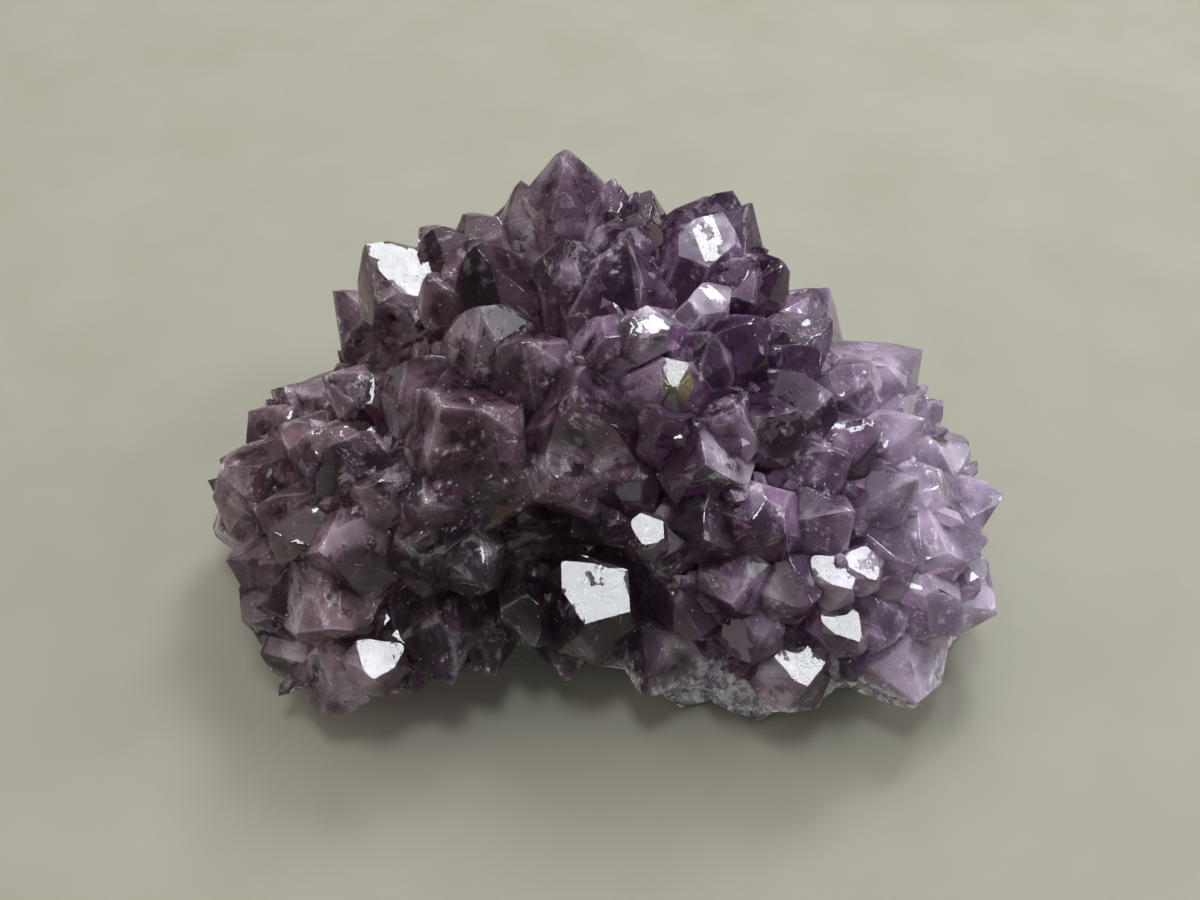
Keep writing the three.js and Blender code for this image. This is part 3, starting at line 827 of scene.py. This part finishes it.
def crack_sheets():
    """Each sheet is a lens: radius runs from the middle to the rim in rings and angle runs
    round. Its height is a saddle and a ripple, plus or minus half the thickness, which falls to
    nothing at the rim. The rim's radius wavers with the angle."""
    place, normal, room, rng = places_inside(CRACK_COUNT, CRACK_DEPTHS, CRACK_SEED)
    keep = room > CRACK_ROOM
    place, normal, room = place[keep], normal[keep], room[keep]
    count = len(place)
    facing = normal * rng.choice(CRACK_ALONG, (count, 1))
    facing = facing + rng.normal(size=(count, 3)) * CRACK_STRAY
    facing /= np.linalg.norm(facing, axis=1, keepdims=True)
    across, over = axes_from(facing, rng)
    size = (room * rng.uniform(*CRACK_FILLS, count))[:, None, None]
    radius = (np.arange(1, CRACK_RINGS + 1) / CRACK_RINGS)[None, :, None]
    angle = (np.arange(CRACK_SIDES) * 2 * math.pi / CRACK_SIDES)[None, None, :]
    wavers = 1 - CRACK_WAVER * rng.random((count, 1, CRACK_SIDES)) * radius
    u = size * radius * np.cos(angle) * wavers
    v = size * radius * np.sin(angle) * wavers * rng.uniform(*CRACK_SQUEEZE, (count, 1, 1))
    bend = rng.uniform(*CRACK_BEND, (count, 1, 1))
    ripple = CRACK_RIPPLE * np.sin(3 * angle + 9 * radius + rng.uniform(0, 6, (count, 1, 1)))
    height = size * (bend * radius**2 * np.cos(2 * angle) + ripple * radius)
    lens = CRACK_THICKNESS / 2 * (1 - radius**2) * np.ones_like(height)
    layers = []
    for side in (1, -1):
        lift = height + side * lens
        grid = (
            place[:, None, None] + u[..., None] * across[:, None, None]
            + v[..., None] * over[:, None, None] + lift[..., None] * facing[:, None, None]
        )
        middle = place[:, None] + facing[:, None] * side * CRACK_THICKNESS / 2
        rings = grid.reshape(count, -1, 3)
        layers.append(np.concatenate([middle, rings], axis=1))
    upper = layers[0]
    lower = layers[1][:, : 1 + (CRACK_RINGS - 1) * CRACK_SIDES]
    points = np.concatenate([upper, lower], axis=1)
    one = lens_faces(CRACK_RINGS, CRACK_SIDES)
    total = points.shape[1]
    faces = [
        tuple(first + i for i in face) for first in range(0, total * count, total) for face in one
    ]
    return closed_mesh("inner_cracks", points, faces)


def lens_faces(rings, sides):
    """The faces of a closed lens: an upper fan and rings, and a lower one that shares the rim."""
    faces = []
    lower = 1 + rings * sides

    def index(ring, side, below):
        if below and ring < rings - 1:
            return lower + 1 + ring * sides + side % sides
        return 1 + ring * sides + side % sides

    for below in (False, True):
        middle = lower if below else 0
        for side in range(sides):
            faces.append((middle, index(0, side, below), index(0, side + 1, below)))
            for ring in range(rings - 1):
                faces.append((
                    index(ring, side, below), index(ring + 1, side, below),
                    index(ring + 1, side + 1, below), index(ring, side + 1, below),
                ))
    return faces


def crack_finish():
    """Silvery, lacy sheets: bright where the bubbles lie close and open between them."""
    finish = Finish("healed_crack")
    lace = finish.noise(0.0012, detail=4, roughness=0.7)
    shown = lace.between(0.42, 0.62) * 0.85
    ripple = finish.vector("SUBTRACT", lace.other("Color"), (0.5, 0.5, 0.5))
    facing = finish.vector("ADD", finish.node("NewGeometry", output="Normal"), ripple)
    return finish.done(finish.principled(
        Base_Color=(0.92, 0.88, 0.95), Metallic=0.5, Roughness=0.3, Alpha=shown,
        Normal=finish.vector("NORMALIZE", facing),
    ))


cracks = mesh_object("inner_cracks", crack_sheets(), crack_finish())
cracks.data.shade_smooth()
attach(cracks, "root")


# Inclusions: grains of brown to black iron ore. They settled on the crystals, which then grew
# round them.
GRAIN_COUNT = 150
GRAIN_SEED = 31
GRAIN_DEPTHS = (0.0006, 0.003)
GRAIN_SIZES = (0.00018, 0.0006)
# As shares of the size: how long each grain is along X, Y and Z, and how uneven its radii are.
GRAIN_SIDES = (0.5, 1.2)
GRAIN_RADII = (0.6, 1.1)


def grains():
    """Each grain is a bent ball: twelve points of an icosahedron with uneven radii."""
    place, _, room, rng = places_inside(GRAIN_COUNT, GRAIN_DEPTHS, GRAIN_SEED)
    keep = room > GRAIN_SIZES[1]
    place = place[keep]
    count = len(place)
    ball = bmesh.new()
    bmesh.ops.create_icosphere(ball, subdivisions=1, radius=1)
    corners = np.array([vert.co for vert in ball.verts])
    one = [tuple(vert.index for vert in face.verts) for face in ball.faces]
    ball.free()
    size = rng.uniform(*GRAIN_SIZES, (count, 1, 1)) * rng.uniform(*GRAIN_SIDES, (count, 1, 3))
    uneven = rng.uniform(*GRAIN_RADII, (count, len(corners), 1))
    points = place[:, None] + corners[None] * size * uneven
    total = len(corners)
    faces = [
        tuple(first + i for i in face) for first in range(0, total * count, total) for face in one
    ]
    return closed_mesh("inclusions", points, faces)


def grain_finish():
    """Dark brown to black ore."""
    finish = Finish("iron_ore")
    colour = finish.blend(finish.noise(0.01), (0.012, 0.008, 0.006), (0.16, 0.07, 0.02))
    return finish.done(finish.principled(Base_Color=colour, Roughness=0.45))


inclusions = mesh_object("inclusions", grains(), grain_finish())
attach(inclusions, "root")


# The rock that the crust grew on: weathered basalt, grey with a thin green-grey skin. Its
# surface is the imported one, cut finer and roughened inwards.
ROCK_SIDE = 0.0022
ROCK_SEED = 13
# The spacing and the depth of its roughness, which grows from nothing at the foot to full at
# this height. Faces that look down further than the last value stay flat.
ROCK_ROUGH = ((0.009, 0.0008), (0.003, 0.0004))
ROCK_FOOT_KEPT = 0.001
ROCK_UNDERSIDE = -0.9


def rock_mesh():
    """The rock's surface, where each point above the flat foot moves inwards along its normal by
    two sizes of lattice noise."""
    mesh = bmesh.new()
    mesh.from_mesh(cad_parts["matrix_rock"].data)
    bmesh.ops.remove_doubles(mesh, verts=mesh.verts, dist=DOUBLES_WITHIN)
    made, _ = cut_fine(triangles_of(mesh), ROCK_SIDE, ROCK_SIDE)
    up = read_rows(made.polygons, "normal")[:, 2]
    made.polygons.foreach_set("use_smooth", up > ROCK_UNDERSIDE)
    points = read_rows(made.vertices, "co")
    normals = read_rows(made.vertices, "normal")
    depth = sum(
        height * (1 + lattice_noise(points, size, ROCK_SEED)) / 2 for size, height in ROCK_ROUGH
    )
    depth *= np.clip(points[:, 2] / ROCK_FOOT_KEPT, 0, 1)
    made.vertices.foreach_set("co", (points - normals * depth[:, None]).ravel())
    made.update()
    return made


def rock_finish():
    """Rough grey rock with a green-grey skin in patches."""
    finish = Finish("weathered_rock")
    skin = finish.noise(0.006, detail=6).between(0.4, 0.62)
    grey = finish.blend(finish.noise(0.0015), (0.12, 0.12, 0.11), (0.3, 0.29, 0.26))
    green = finish.blend(finish.noise(0.002), (0.09, 0.13, 0.09), (0.24, 0.3, 0.22))
    rough = finish.bump(finish.noise(0.0018, detail=8), 0.0006, 0.8)
    return finish.done(
        finish.principled(Base_Color=finish.blend(skin, grey, green), Roughness=0.85, Normal=rough)
    )


rock = mesh_object("rock", rock_mesh(), rock_finish())
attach(rock, "root")
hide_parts("matrix_rock")
